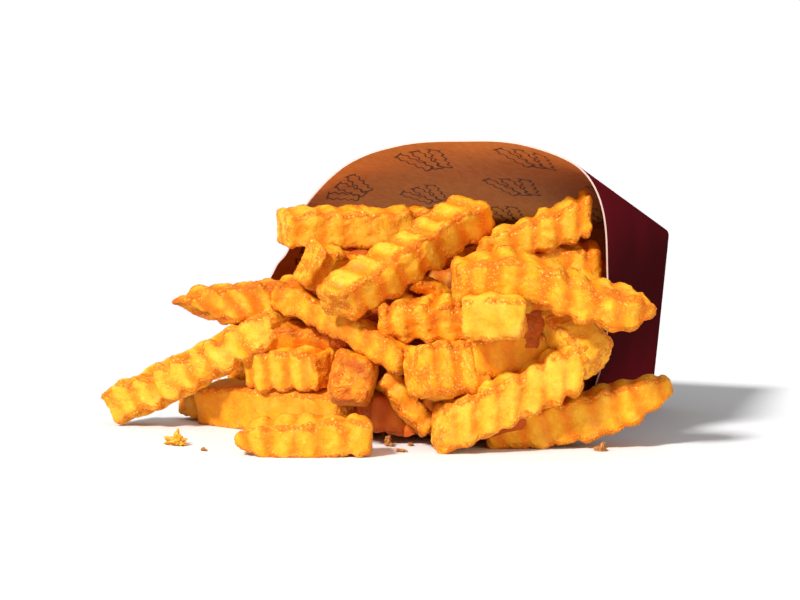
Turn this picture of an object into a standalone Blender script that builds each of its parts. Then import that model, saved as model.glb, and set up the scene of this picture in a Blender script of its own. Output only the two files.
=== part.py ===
"""French fries spilling out of a folded paper carton.

The carton lies on its short front panel with its tall, arched back panel on top, and leans a little
to the right. Its mouth faces -Y, its base +Y, and +Z is up. The fries are one fused heap: a core
that fills the carton, with every fry that shows lying on it. One more fry lies in front, clear of
the heap. Lengths here are millimetres, measured from the floor under the middle of the mouth. They
become metres when a mesh is made, and the model's origin is the middle of the face it lies on.
"""

from dataclasses import dataclass
from math import cos, pi, radians, sin
from random import Random

import bmesh
import bpy
from mathutils import Matrix, Vector

MM = 0.001
ORIGIN = Vector((-1.5, 52.0, 0.0))

# Carton
BOARD = 0.5
CARTON_DEPTH = 90.0
BASE_WIDTH = 94.0
BASE_HEIGHT = 61.0
BASE_CENTRE_X = -1.5
LEAN = 6.0
FOLD_RADIUS = 3.0
FOLD_STEPS = 4
PANEL_STEPS = {"right": 16, "back": 24, "left": 16, "front": 14}
WALL_ROWS = 6

# The mouth's edge, from the lower right up, over the arch and down the left. The first value counts
# the base's corners: 0 is lower right, 1 upper right, 2 upper left and 3 lower left.
MOUTH_EDGE = (
    (0.00, 42.0, 13.0, 0.0),
    (0.22, 52.0, 7.0, 16.0),
    (0.42, 57.0, 4.0, 33.0),
    (0.60, 58.5, 0.0, 51.0),
    (0.84, 59.0, -7.0, 73.0),
    (1.00, 53.0, -12.0, 85.0),
    (1.16, 38.0, -19.0, 91.5),
    (1.36, 20.0, -21.0, 92.5),
    (1.60, -1.5, -20.0, 91.0),
    (1.82, -22.5, -15.0, 84.5),
    (2.00, -40.0, -8.0, 71.5),
    (2.22, -52.0, 2.0, 56.0),
    (2.36, -58.0, 5.0, 50.5),
    (2.56, -62.0, 3.0, 38.0),
    (2.80, -60.0, 6.0, 17.0),
    (3.00, -48.0, 13.0, 0.0),
    (3.50, -2.0, 17.0, 0.0),
)

# Fries
FRY_SIDE = 12.0
RIDGE_PITCH = 7.4
RIDGE_DEPTH = 0.7
EDGE_RIDGE_DEPTH = 0.35
TAPER_LENGTH = 9.0
FILLER_SEED = 11
FILLER_COUNT = 14
FILLER_LOWEST = 10.0
FILLER_HIGHEST = 52.0
FILLER_LEFT = -26.0
FILLER_RIGHT = 32.0
FILLER_FRONT = -20.0
FILLER_SLOPE = 0.3
FILLER_UNEVENNESS = 3.0
FILLER_SHORTEST_HALF = 13.0
FILLER_LONGEST_HALF = 18.0
FILLER_HEADING = 60.0
FILLER_PITCH = 25.0
FILLER_ROLL = 40.0
SMALLEST_PIECE = 20.0
SLAB_WIDTH = 400.0
SLAB_HEIGHT = 60.0

# Core: one section for each y, as left, right, bottom and top.
CORE_SECTIONS = (
    (-24.0, -16.0, 30.0, 1.5, 11.0),
    (-18.0, -34.0, 40.0, 1.2, 24.0),
    (-8.0, -42.0, 45.0, 1.2, 40.0),
    (4.0, -46.0, 48.0, 1.5, 52.0),
    (16.0, -48.0, 49.0, 2.4, 56.0),
    (30.0, -47.0, 48.0, 2.4, 56.0),
    (54.0, -45.0, 45.0, 2.4, 53.0),
    (84.0, -42.0, 42.0, 2.4, 46.0),
)
CORE_SIDES = 20
CORE_SQUARENESS = 3.0


@dataclass(frozen=True)
class Fry:
    """One crinkle-cut fry: the middles of its two ends, and how it is cut and bent."""

    start: tuple
    end: tuple
    height: float = FRY_SIDE
    width: float = FRY_SIDE
    roll: float = 0.0
    bow: float = 0.0
    sway: float = 0.0
    start_scale: float = 0.92
    end_scale: float = 0.92
    slant: float = 0.0
    lean: float = 0.0
    depth: float = 1.0
    offset: float = 2.0
    taper: float = TAPER_LENGTH


HEAPED_FRIES = {
    "top_left": Fry((-42, -20, 64.5), (4, 4, 65), 11, 11, roll=8, slant=0.35, depth=0.6),
    "under_top_left": Fry((-31, -25, 54.5), (-12, 6, 43), 14, 12, roll=20, slant=-0.1),
    "centre_long": Fry((-15, -38, 43), (19, -9, 70.5), 11, 11, roll=24, slant=0.45, end_scale=1.0),
    "top_right": Fry((22, -15, 57.5), (52, 0, 70), 9, 10, roll=6, lean=0.5, end_scale=1.2, depth=1.4),
    "right_wall": Fry((27, -9, 53.5), (53.5, 6, 54), 12.5, 12, roll=10),
    "right_long": Fry(
        (22, -32, 51), (78, -17, 43.5), 11, 11.5,
        roll=14, bow=3, sway=2.5, slant=0.3, end_scale=0.3, taper=11, depth=0.8,
    ),
    "middle": Fry((-5, -27, 38.5), (26, -21, 39), 11, 11, roll=12, slant=0.1, depth=1.2),
    "middle_block": Fry((27, -37, 41.5), (44, -31, 41.5), 12.5, 12, roll=6, depth=0.3),
    "centre_chunk": Fry((12.5, -39.5, 24.5), (26, -23.5, 24), 15, 13, roll=-12, slant=0.1),
    "centre_right_block": Fry((24, -27, 28), (44, -10, 29), 12, 12, depth=0.4),
    "right_drop": Fry((40, -10, 44), (60.5, -14, 26.5), 12.5, 12, roll=30, depth=0.5, end_scale=0.85),
    "front_right": Fry((17.5, -34.5, 7), (55.5, -15, 26), 13, 12, roll=8, slant=0.2, lean=0.5, depth=1.1),
    "floor_right": Fry((26, -18, 5.5), (77, 5, 19), 12, 11, roll=4, bow=-3, end_scale=0.3, taper=16, depth=0.7),
    "floor_left": Fry((-76, -8, 6.5), (-16, -24, 9), 13.5, 12, roll=8, depth=0.2),
    "crusty_end": Fry((-8, -40, 20.5), (-22, -8, 19.5), 15, 13, roll=10, depth=0.5, start_scale=0.8),
    "leaning_down": Fry((-3, -28, 21), (11, -25, 5), 10, 7, roll=70, depth=0.5),
    "left_upper": Fry((-71, -27, 39), (-31, -9, 43.5), 11.5, 11, slant=0.5, lean=-0.6, start_scale=0.45),
    "left_long": Fry((-100, -24, 6.5), (-42, -21, 35.5), 10.5, 10.5, roll=6, bow=-1, slant=-0.2, depth=1.3),
    "left_slant": Fry((-44, -18, 43), (7, -33, 26), 7.5, 9, roll=-8, bow=1.5, depth=0.5),
    "left_ridged": Fry((-54, -17, 20.5), (-24, -24, 21.5), 11.5, 12, roll=6, depth=1.2),
    "left_inner": Fry((-48, -19, 30), (-18, -12, 28), 12, 12, roll=20, depth=0.5),
    "chip": Fry((4, -22, 50), (16, -14, 42.5), 3.5, 5, roll=30, depth=0.3),
    "under_right_long": Fry((26, -29, 42), (56, -2, 47), 11, 11, roll=20),
    "under_right_wall": Fry((14, 8, 53), (46, 17, 51), 8, 10, roll=15),
    "left_back_tip": Fry((-88, -2, 4), (-56, -9, 8), 6, 10, start_scale=0.6, depth=0.4),
    "left_back": Fry((-70, 0, 14), (-48, -4, 15), 6, 9, depth=0.4),
    "floor_dark": Fry((-20, -8, 8), (10, -4, 8), 12, 12, roll=15),
    "inner_shadow": Fry((-36, -12, 34), (-10, -6, 35), 12, 12, roll=30),
    "inner_low": Fry((4, -20, 11.5), (26, -13, 12), 11, 12, roll=-15),
}
FRONT_FRY = Fry((-35, -64, 4.5), (2, -48, 6), 10.5, 11, roll=6, start_scale=0.3, taper=13, depth=0.7)


def to_metres(point):
    """A point in millimetres from under the mouth, in metres from the model's origin."""
    return (Vector(point) - ORIGIN) * MM


def new_object(name, mesh):
    """An object that holds the mesh, linked to the scene."""
    obj = bpy.data.objects.new(name, mesh)
    bpy.context.scene.collection.objects.link(obj)
    return obj


def finish(name, colour, roughness):
    """A plain Principled material."""
    material = bpy.data.materials.new(name)
    material.use_nodes = True
    shader = material.node_tree.nodes["Principled BSDF"]
    shader.inputs["Base Color"].default_value = (*colour, 1.0)
    shader.inputs["Roughness"].default_value = roughness
    shader.inputs["Metallic"].default_value = 0.0
    return material


def apply_modifiers(obj):
    """Puts the evaluated mesh in place of the object's own and removes its modifiers."""
    graph = bpy.context.evaluated_depsgraph_get()
    mesh = bpy.data.meshes.new_from_object(obj.evaluated_get(graph))
    obj.modifiers.clear()
    obj.data = mesh


# Carton


def base_outline():
    """The base's outline as (corner count, point), with round folds at its four corners."""
    left = BASE_CENTRE_X - BASE_WIDTH / 2
    right = BASE_CENTRE_X + BASE_WIDTH / 2
    corners = [
        Vector((right - LEAN / 2, CARTON_DEPTH, 0.0)),
        Vector((right + LEAN / 2, CARTON_DEPTH, BASE_HEIGHT)),
        Vector((left + LEAN / 2, CARTON_DEPTH, BASE_HEIGHT)),
        Vector((left - LEAN / 2, CARTON_DEPTH, 0.0)),
    ]
    outline = []
    for index, panel in enumerate(PANEL_STEPS):
        corner = corners[index]
        before = corners[index - 1] - corner
        after = corners[(index + 1) % 4] - corner
        trim_before = FOLD_RADIUS / before.length
        trim_after = FOLD_RADIUS / after.length
        for step in range(FOLD_STEPS):
            t = step / FOLD_STEPS
            point = corner + before * trim_before * (1 - t) ** 2 + after * trim_after * t**2
            outline.append((index - trim_before + (trim_before + trim_after) * t, point))
        for step in range(PANEL_STEPS[panel]):
            along = trim_after + (1 - 2 * trim_after) * step / PANEL_STEPS[panel]
            outline.append((index + along, corner + after * along))
    return outline


def mouth_point(corner_count):
    """The point of the mouth's edge that the board's straight line from this base point reaches."""
    knots = [(row[0], Vector(row[1:])) for row in MOUTH_EDGE]
    count = len(knots)

    def knot(index):
        turns, place = divmod(index, count)
        return knots[place][0] + 4 * turns, knots[place][1]

    at = corner_count % 4
    index = max(i for i in range(count) if knots[i][0] <= at)
    (u0, p0), (u1, p1), (u2, p2), (u3, p3) = (knot(index + step) for step in (-1, 0, 1, 2))
    span = u2 - u1
    t = (at - u1) / span
    slope1 = (p2 - p0) / (u2 - u0) * span
    slope2 = (p3 - p1) / (u3 - u1) * span
    point = (
        p1 * (2 * t**3 - 3 * t**2 + 1)
        + slope1 * (t**3 - 2 * t**2 + t)
        + p2 * (3 * t**2 - 2 * t**3)
        + slope2 * (t**3 - t**2)
    )
    point.z = max(point.z, 0.0)
    return point


def make_carton():
    """The folded blank: four panels that run from the base to the mouth, and the closed base."""
    mesh_builder = bmesh.new()
    rings = []
    outline = base_outline()
    for row in range(WALL_ROWS):
        along = row / (WALL_ROWS - 1)
        ring = []
        for corner_count, base_point in outline:
            point = base_point.lerp(mouth_point(corner_count), along)
            ring.append(mesh_builder.verts.new(to_metres(point)))
        rings.append(ring)
    for near_base, near_mouth in zip(rings, rings[1:]):
        for index in range(len(near_base)):
            a, b = near_base[index - 1], near_base[index]
            c, d = near_mouth[index], near_mouth[index - 1]
            mesh_builder.faces.new((a, b, c, d))
    mesh_builder.faces.new(rings[0])
    bmesh.ops.recalc_face_normals(mesh_builder, faces=mesh_builder.faces)
    mesh = bpy.data.meshes.new("carton")
    mesh_builder.to_mesh(mesh)
    mesh_builder.free()
    carton = new_object("carton", mesh)
    board = carton.modifiers.new("board", "SOLIDIFY")
    board.thickness = BOARD * MM
    board.offset = -1.0
    board.use_even_offset = True
    carton.data.materials.append(finish("printed_board", (0.09, 0.008, 0.013), 0.45))
    return carton


# Fries


def fry_axes(fry):
    """The fry's length and its directions along, to the side and up, turned by its roll."""
    start, end = Vector(fry.start), Vector(fry.end)
    along = (end - start).normalized()
    side = along.cross(Vector((0, 0, 1))).normalized()
    turn = Matrix.Rotation(radians(fry.roll), 3, along)
    side = turn @ side
    return (end - start).length, along, side, side.cross(along)


def end_scale(fry, distance, length):
    """How much thinner the fry is here, near an end that tapers."""
    from_start = min(distance / fry.taper, 1.0)
    from_end = min((length - distance) / fry.taper, 1.0)
    return (fry.start_scale + (1 - fry.start_scale) * sin(from_start * pi / 2)) * (
        fry.end_scale + (1 - fry.end_scale) * sin(from_end * pi / 2)
    )


def fry_mesh(name, fry):
    """A four-sided bar with a ring of corners at each ridge and each groove."""
    length, along, side, up = fry_axes(fry)
    halves = max(2, round(2 * length / RIDGE_PITCH))
    mesh_builder = bmesh.new()
    rings = []
    for step in range(halves + 1):
        distance = length * step / halves
        scale = end_scale(fry, distance, length)
        part_way = step / halves
        rise = fry.bow * 4 * part_way * (1 - part_way) + fry.sway * sin(2 * pi * part_way)
        ring = []
        for across, over in ((-1, -1), (1, -1), (1, 1), (-1, 1)):
            wave = cos(pi * step + (fry.offset if over < 0 else 0.0))
            edge_wave = cos(pi * step + (fry.offset if across < 0 else 0.0))
            out = across * fry.width / 2 * scale + EDGE_RIDGE_DEPTH * fry.depth * edge_wave
            high = over * fry.height / 2 * scale + RIDGE_DEPTH * fry.depth * wave + rise
            cut = fry.slant * across * fry.width / 2 + fry.lean * over * fry.height / 2
            point = Vector(fry.start) + along * (distance + cut) + side * out + up * high
            ring.append(mesh_builder.verts.new(to_metres(point)))
        rings.append(ring)
    for one, two in zip(rings, rings[1:]):
        for index in range(4):
            mesh_builder.faces.new((one[index - 1], one[index], two[index], two[index - 1]))
    mesh_builder.faces.new(rings[0])
    mesh_builder.faces.new(rings[-1])
    bmesh.ops.recalc_face_normals(mesh_builder, faces=mesh_builder.faces)
    bmesh.ops.triangulate(mesh_builder, faces=mesh_builder.faces)
    mesh = bpy.data.meshes.new(name)
    mesh_builder.to_mesh(mesh)
    mesh_builder.free()
    return mesh


def filler_fries():
    """Fries in the shade between those that show, by a seeded draw down the heap's front."""
    draw = Random(FILLER_SEED)
    fillers = []
    for index in range(FILLER_COUNT):
        height = FILLER_LOWEST + (FILLER_HIGHEST - FILLER_LOWEST) * index / (FILLER_COUNT - 1)
        across = draw.uniform(FILLER_LEFT, FILLER_RIGHT)
        front = FILLER_FRONT + FILLER_SLOPE * height
        front += draw.uniform(-FILLER_UNEVENNESS, FILLER_UNEVENNESS)
        heading = radians(draw.uniform(-FILLER_HEADING, FILLER_HEADING))
        pitch = radians(draw.uniform(-FILLER_PITCH, FILLER_PITCH))
        half = draw.uniform(FILLER_SHORTEST_HALF, FILLER_LONGEST_HALF)
        roll = draw.uniform(-FILLER_ROLL, FILLER_ROLL)
        middle = Vector((across, front, height))
        reach = Vector((cos(heading) * cos(pitch), sin(heading) * cos(pitch), sin(pitch))) * half
        fillers.append(Fry(tuple(middle - reach), tuple(middle + reach), roll=roll))
    return fillers


def signed_power(value, exponent):
    """The power of the value's size, with the value's sign."""
    return (abs(value) ** exponent) * (1 if value >= 0 else -1)


def core_mesh():
    """The closed, rounded body under the fries, from its sections along the carton."""
    mesh_builder = bmesh.new()
    rings = []
    for y, left, right, bottom, top in CORE_SECTIONS:
        ring = []
        for step in range(CORE_SIDES):
            angle = 2 * pi * step / CORE_SIDES
            across = signed_power(cos(angle), 2 / CORE_SQUARENESS)
            over = signed_power(sin(angle), 2 / CORE_SQUARENESS)
            x = (left + right) / 2 + (right - left) / 2 * across
            z = (bottom + top) / 2 + (top - bottom) / 2 * over
            ring.append(mesh_builder.verts.new(to_metres((x, y, z))))
        rings.append(ring)
    for one, two in zip(rings, rings[1:]):
        for index in range(CORE_SIDES):
            mesh_builder.faces.new((one[index - 1], one[index], two[index], two[index - 1]))
    mesh_builder.faces.new(rings[0])
    mesh_builder.faces.new(rings[-1])
    bmesh.ops.recalc_face_normals(mesh_builder, faces=mesh_builder.faces)
    bmesh.ops.triangulate(mesh_builder, faces=mesh_builder.faces)
    mesh = bpy.data.meshes.new("fries")
    mesh_builder.to_mesh(mesh)
    mesh_builder.free()
    return mesh


def flatten_on_floor(obj):
    """Cuts away what would reach below the floor, which gives the fries there a flat underside."""
    bpy.ops.mesh.primitive_cube_add(size=1, location=(0, 0, -SLAB_HEIGHT / 2 * MM))
    slab = bpy.context.object
    slab.scale = (SLAB_WIDTH * MM, SLAB_WIDTH * MM, SLAB_HEIGHT * MM)
    slab.hide_render = True
    slab.display_type = "WIRE"
    trim = obj.modifiers.new("floor", "BOOLEAN")
    trim.operation = "DIFFERENCE"
    trim.object = slab
    apply_modifiers(obj)
    bpy.data.objects.remove(slab)


def pieces_of(mesh_builder):
    """The faces of each connected piece of the mesh."""
    left = set(mesh_builder.faces)
    while left:
        piece = [left.pop()]
        for face in piece:
            for edge in face.edges:
                for other in edge.link_faces:
                    if other in left:
                        left.remove(other)
                        piece.append(other)
        yield piece


def piece_volume(piece):
    """The volume that the faces enclose in cubic millimetres, negative for a sealed hollow."""
    volume = 0.0
    for face in piece:
        first = face.verts[0].co
        for one, two in zip(face.verts[1:], face.verts[2:]):
            volume += first.dot(one.co.cross(two.co)) / 6
    return volume / MM**3


def drop_hollows_and_scraps(obj):
    """Fills the hollows that fusing sealed and drops the loose scraps."""
    mesh_builder = bmesh.new()
    mesh_builder.from_mesh(obj.data)
    for piece in list(pieces_of(mesh_builder)):
        if piece_volume(piece) < SMALLEST_PIECE:
            bmesh.ops.delete(mesh_builder, geom=piece, context="FACES")
    mesh_builder.to_mesh(obj.data)
    mesh_builder.free()


def make_fries():
    """The heap: the core with all the fries fused on, flat where it meets the floor."""
    heap = new_object("fries", core_mesh())
    loose = bpy.data.collections.new("loose_fries")
    bpy.context.scene.collection.children.link(loose)
    fries = dict(HEAPED_FRIES)
    fries.update({f"filler_{i}": fry for i, fry in enumerate(filler_fries())})
    for name, fry in fries.items():
        loose.objects.link(bpy.data.objects.new(name, fry_mesh(name, fry)))
    fuse = heap.modifiers.new("fuse", "BOOLEAN")
    fuse.operation = "UNION"
    fuse.operand_type = "COLLECTION"
    fuse.collection = loose
    apply_modifiers(heap)
    for obj in list(loose.objects):
        bpy.data.objects.remove(obj)
    bpy.data.collections.remove(loose)
    flatten_on_floor(heap)
    drop_hollows_and_scraps(heap)
    heap.data.materials.append(finish("fried_potato", (0.83, 0.40, 0.06), 0.55))
    return heap


def make_front_fry():
    """The one fry that lies on the floor clear of the heap."""
    fry = new_object("front_fry", fry_mesh("front_fry", FRONT_FRY))
    flatten_on_floor(fry)
    fry.data.materials.append(finish("fried_potato_front", (0.86, 0.44, 0.07), 0.55))
    return fry


def main():
    for obj in list(bpy.data.objects):
        bpy.data.objects.remove(obj)
    make_carton()
    make_fries()
    make_front_fry()


main()
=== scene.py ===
"""The looks of a folded paper carton that lies on its front panel with crinkle-cut fries spilling out.

The sizes are millimetres, measured from the floor under the middle of the mouth, with the mouth
towards -Y and +Z up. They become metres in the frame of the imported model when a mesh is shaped.
"""

import logging
from dataclasses import dataclass, field
from enum import Enum
from itertools import product
from math import ceil, cos, pi, radians, sin
from random import Random

import bpy
import numpy as np
from mathutils import Matrix, Quaternion, Vector


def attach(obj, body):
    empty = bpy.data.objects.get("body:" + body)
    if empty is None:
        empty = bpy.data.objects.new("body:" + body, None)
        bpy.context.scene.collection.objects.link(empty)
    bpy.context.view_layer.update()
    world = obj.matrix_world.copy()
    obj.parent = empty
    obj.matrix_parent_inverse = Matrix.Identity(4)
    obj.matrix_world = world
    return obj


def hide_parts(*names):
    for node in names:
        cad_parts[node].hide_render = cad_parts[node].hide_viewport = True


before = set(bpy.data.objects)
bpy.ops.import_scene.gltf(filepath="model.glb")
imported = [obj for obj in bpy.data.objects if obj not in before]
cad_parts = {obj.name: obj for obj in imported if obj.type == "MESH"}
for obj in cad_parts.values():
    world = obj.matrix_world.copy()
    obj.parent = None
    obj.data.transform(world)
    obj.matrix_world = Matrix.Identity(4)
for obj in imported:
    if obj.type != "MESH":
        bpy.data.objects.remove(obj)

log = logging.getLogger("fries")

MM = 0.001
ORIGIN = (-1.5, 52.0, 0.0)
BODY = "root"
FLOOR_GAP = 0.05

Point = tuple[float, float, float]
Colour = tuple[float, float, float]


class Part(Enum):
    """Where in the heap a fry lies, which decides the piece that it is joined to."""

    LEFT = "fries_left"
    SHADE = "fries_shade"
    CENTRE = "fries_centre"
    RIGHT = "fries_right"
    BED = "fries_bed"


def to_metres(points: np.ndarray) -> np.ndarray:
    """Points in millimetres from under the mouth, in metres from the model's origin."""
    return (points - np.array(ORIGIN)) * MM


def deselect_all() -> None:
    """Leaves nothing selected, so that the next operator acts on what it makes."""
    if bpy.context.mode != "OBJECT":
        bpy.ops.object.mode_set(mode="OBJECT")
    bpy.ops.object.select_all(action="DESELECT")


def pick(*objects: bpy.types.Object) -> None:
    """Selects these objects and makes the first one active.

    Args:
        objects: The objects that the next operator acts on.
    """
    deselect_all()
    for obj in objects:
        obj.select_set(True)
    bpy.context.view_layer.objects.active = objects[0]


def apply_all(obj: bpy.types.Object) -> None:
    """Applies the object's modifiers in their order.

    Args:
        obj: The object whose modifiers become part of its mesh.
    """
    pick(obj)
    for modifier in list(obj.modifiers):
        bpy.ops.object.modifier_apply(modifier=modifier.name)


def read_points(mesh: bpy.types.Mesh) -> np.ndarray:
    """The mesh's points, one row each.

    Args:
        mesh: The mesh that is read.

    Returns:
        The points, in the mesh's own units.
    """
    points = np.empty(len(mesh.vertices) * 3, np.float32)
    mesh.vertices.foreach_get("co", points)
    return points.reshape(-1, 3).astype(float)


def write_points(mesh: bpy.types.Mesh, points: np.ndarray) -> None:
    """Moves the mesh's points to these places."""
    mesh.vertices.foreach_set("co", points.astype(np.float32).ravel())
    mesh.update()


def write_values(mesh: bpy.types.Mesh, name: str, values: np.ndarray) -> None:
    """Keeps one value for each point, for a material to read.

    Args:
        mesh: The mesh that gets the attribute.
        name: The attribute's name.
        values: One number for each point.
    """
    attribute = mesh.attributes.new(name, "FLOAT", "POINT")
    attribute.data.foreach_set("value", values.astype(np.float32))


def smooth_noise(points: np.ndarray, size: float, draw: Random, waves: int = 14) -> np.ndarray:
    """A soft random field, from waves in random directions.

    Args:
        points: Where the field is read, in millimetres.
        size: The usual distance from one hump to the next.
        draw: The seeded source of the waves.
        waves: How many waves are added.

    Returns:
        One value for each point, mostly between -1 and 1.
    """
    total = np.zeros(len(points))
    for _ in range(waves):
        way = Vector((draw.gauss(0, 1), draw.gauss(0, 1), draw.gauss(0, 1))).normalized()
        pace = 2 * pi / size * draw.uniform(0.6, 1.6)
        total += np.sin(points @ np.array(way) * pace + draw.uniform(0, 2 * pi))
    return total / (waves / 2) ** 0.5 / 1.6


def grains(points: np.ndarray, size: float, salt: float) -> np.ndarray:
    """Round grains scattered through space, as many as there are cells of this size.

    Args:
        points: Where the grains are read, in millimetres.
        size: The width of the largest grain.
        salt: A number that gives another scatter.

    Returns:
        How far a grain stands out at each point, from 0 to 1.
    """
    scaled = points / size
    first = np.floor(scaled - 0.5)
    height = np.zeros(len(points))
    for step in product((0.0, 1.0), repeat=3):
        cell = first + step
        turns = (cell @ (12.99 + k, 78.23 - k, 37.72 + 2 * k) + salt for k in range(4))
        chance = [np.sin(turn) * 43758.54 % 1.0 for turn in turns]
        radius = 0.24 + 0.26 * chance[3]
        away = np.linalg.norm(scaled - cell - np.stack(chance[:3], 1), axis=1) / radius
        height = np.maximum(height, np.sqrt(np.clip(1 - away**2, 0, 1)) * radius * 2)
    return height


def smooth_step(low: float, high: float, values: np.ndarray) -> np.ndarray:
    """Rises smoothly from 0 at low to 1 at high."""
    t = np.clip((values - low) / (high - low), 0, 1)
    return t * t * (3 - 2 * t)


# Materials


@dataclass
class NodeSheet:
    """A node tree, with short calls that add the nodes its recipes need."""

    tree: bpy.types.NodeTree

    def add(self, kind: str, **settings: object) -> bpy.types.Node:
        """A new node with these properties set.

        Args:
            kind: The node's type.
            settings: Its properties by name.

        Returns:
            The node.
        """
        node = self.tree.nodes.new(kind)
        for name, value in settings.items():
            setattr(node, name, value)
        return node

    def feed(self, socket: bpy.types.NodeSocket, source: object) -> None:
        """Links a socket or sets a constant.

        Args:
            socket: The input that is fed.
            source: An output socket to link, or a value for the input itself.
        """
        if isinstance(source, bpy.types.NodeSocket):
            self.tree.links.new(source, socket)
        elif isinstance(source, tuple) and len(source) == 3 and socket.type == "RGBA":
            socket.default_value = (*source, 1.0)
        else:
            socket.default_value = source

    def math(self, operation: str, *values: object) -> bpy.types.NodeSocket:
        """The result of one sum on numbers.

        Args:
            operation: The sum's name.
            values: Sockets or numbers for its inputs.

        Returns:
            The socket with the result.
        """
        node = self.add("ShaderNodeMath", operation=operation)
        for socket, value in zip(node.inputs, values):
            self.feed(socket, value)
        return node.outputs[0]

    def times(self, first: object, second: object) -> bpy.types.NodeSocket:
        """Two numbers multiplied."""
        return self.math("MULTIPLY", first, second)

    def plus(self, first: object, second: object) -> bpy.types.NodeSocket:
        """Two numbers added."""
        return self.math("ADD", first, second)

    def minus(self, first: object, second: object) -> bpy.types.NodeSocket:
        """The second number taken from the first."""
        return self.math("SUBTRACT", first, second)

    def larger(self, first: object, second: object) -> bpy.types.NodeSocket:
        """The larger of two numbers."""
        return self.math("MAXIMUM", first, second)

    def mix(self, amount: object, first: object, second: object) -> bpy.types.NodeSocket:
        """Two colours mixed by an amount.

        Args:
            amount: How much of the second colour there is, from 0 to 1.
            first: A socket or a colour.
            second: A socket or a colour.

        Returns:
            The socket with the mixed colour.
        """
        node = self.add("ShaderNodeMix", data_type="RGBA")
        self.feed(node.inputs[0], amount)
        self.feed(node.inputs[6], first)
        self.feed(node.inputs[7], second)
        return node.outputs[2]

    def ramp(
        self, value: object, low: float, high: float, out_low: float = 0.0, out_high: float = 1.0
    ) -> bpy.types.NodeSocket:
        """A value carried smoothly from one range to another, and held at its ends.

        Args:
            value: The socket or number that is carried.
            low: Where the first range begins.
            high: Where the first range ends.
            out_low: What low becomes.
            out_high: What high becomes.

        Returns:
            The socket with the carried value.
        """
        node = self.add("ShaderNodeMapRange", interpolation_type="SMOOTHSTEP")
        for socket, number in zip(node.inputs, (value, low, high, out_low, out_high)):
            self.feed(socket, number)
        return node.outputs[0]

    def attribute(self, name: str) -> bpy.types.NodeSocket:
        """The value that the mesh keeps under this name."""
        return self.add("ShaderNodeAttribute", attribute_name=name).outputs["Fac"]

    def place(self) -> bpy.types.NodeSocket:
        """The point's own place on the object, in metres."""
        return self.add("ShaderNodeTexCoord").outputs["Object"]

    def noise(
        self, vector: object, scale: float, detail: float = 2.0, rough: float = 0.5
    ) -> bpy.types.NodeSocket:
        """Soft noise from 0 to 1, with so many humps a metre.

        Args:
            vector: Where the noise is read.
            scale: How many humps there are in a metre.
            detail: How many finer layers it has.
            rough: How strong the finer layers are.

        Returns:
            The socket with the noise.
        """
        node = self.add("ShaderNodeTexNoise")
        self.feed(node.inputs["Vector"], vector)
        self.feed(node.inputs["Scale"], scale)
        self.feed(node.inputs["Detail"], detail)
        self.feed(node.inputs["Roughness"], rough)
        return node.outputs["Fac"]

    def group(self, group: bpy.types.NodeTree, **values: object) -> bpy.types.Node:
        """A shared effect, with its inputs set by name.

        Args:
            group: The effect's node group.
            values: Sockets or numbers for its inputs.

        Returns:
            The node, whose outputs are the effect's.
        """
        node = self.add("ShaderNodeGroup", node_tree=group)
        for name, value in values.items():
            self.feed(node.inputs[name], value)
        return node

    def bump(self, shader: bpy.types.Node, height: object, strength: float, depth: float) -> None:
        """Gives a shader fine relief.

        Args:
            shader: The shader whose Normal is fed.
            height: The relief, from 0 to 1.
            strength: How much of it counts.
            depth: How far apart 0 and 1 lie, in metres.
        """
        node = self.add("ShaderNodeBump")
        node.inputs["Strength"].default_value = strength
        node.inputs["Distance"].default_value = depth
        self.feed(node.inputs["Height"], height)
        self.feed(shader.inputs["Normal"], node.outputs[0])


def start_finish(name: str) -> tuple[bpy.types.Material, NodeSheet, bpy.types.Node]:
    """Starts a material.

    Args:
        name: The material's name.

    Returns:
        The material, the sheet of its nodes and its shader.
    """
    material = bpy.data.materials.new(name)
    material.use_nodes = True
    return material, NodeSheet(material.node_tree), material.node_tree.nodes["Principled BSDF"]


def grain_group() -> bpy.types.NodeTree:
    """The shared effect of fine grain: a height for bumps and a mask of scattered specks.

    Returns:
        The node group, with Size and Speck Share in and Height and Specks out.
    """
    tree = bpy.data.node_groups.new("fine_grain", "ShaderNodeTree")
    for name, way in (("Size", "INPUT"), ("Speck Share", "INPUT"), ("Height", "OUTPUT"), ("Specks", "OUTPUT")):
        tree.interface.new_socket(name, in_out=way, socket_type="NodeSocketFloat")
    sheet = NodeSheet(tree)
    entry = sheet.add("NodeGroupInput")
    leave = sheet.add("NodeGroupOutput")
    place = sheet.place()
    pace = sheet.math("DIVIDE", 1.0, entry.outputs["Size"])
    soft = sheet.noise(place, 1.0, detail=4.0, rough=0.62)
    sheet.feed(soft.node.inputs["Scale"], pace)
    cells = sheet.add("ShaderNodeTexVoronoi", feature="F1")
    sheet.feed(cells.inputs["Vector"], place)
    sheet.feed(cells.inputs["Scale"], sheet.times(pace, 0.8))
    beads = sheet.ramp(cells.outputs["Distance"], 0.0, 0.6, 1.0, 0.0)
    height = sheet.plus(sheet.times(soft, 0.7), sheet.times(beads, 0.45))
    chance = sheet.add("ShaderNodeSeparateColor")
    sheet.feed(chance.inputs[0], cells.outputs["Color"])
    chosen = sheet.math("LESS_THAN", chance.outputs[0], entry.outputs["Speck Share"])
    sheet.feed(leave.inputs["Height"], height)
    sheet.feed(leave.inputs["Specks"], sheet.times(beads, chosen))
    return tree


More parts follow.
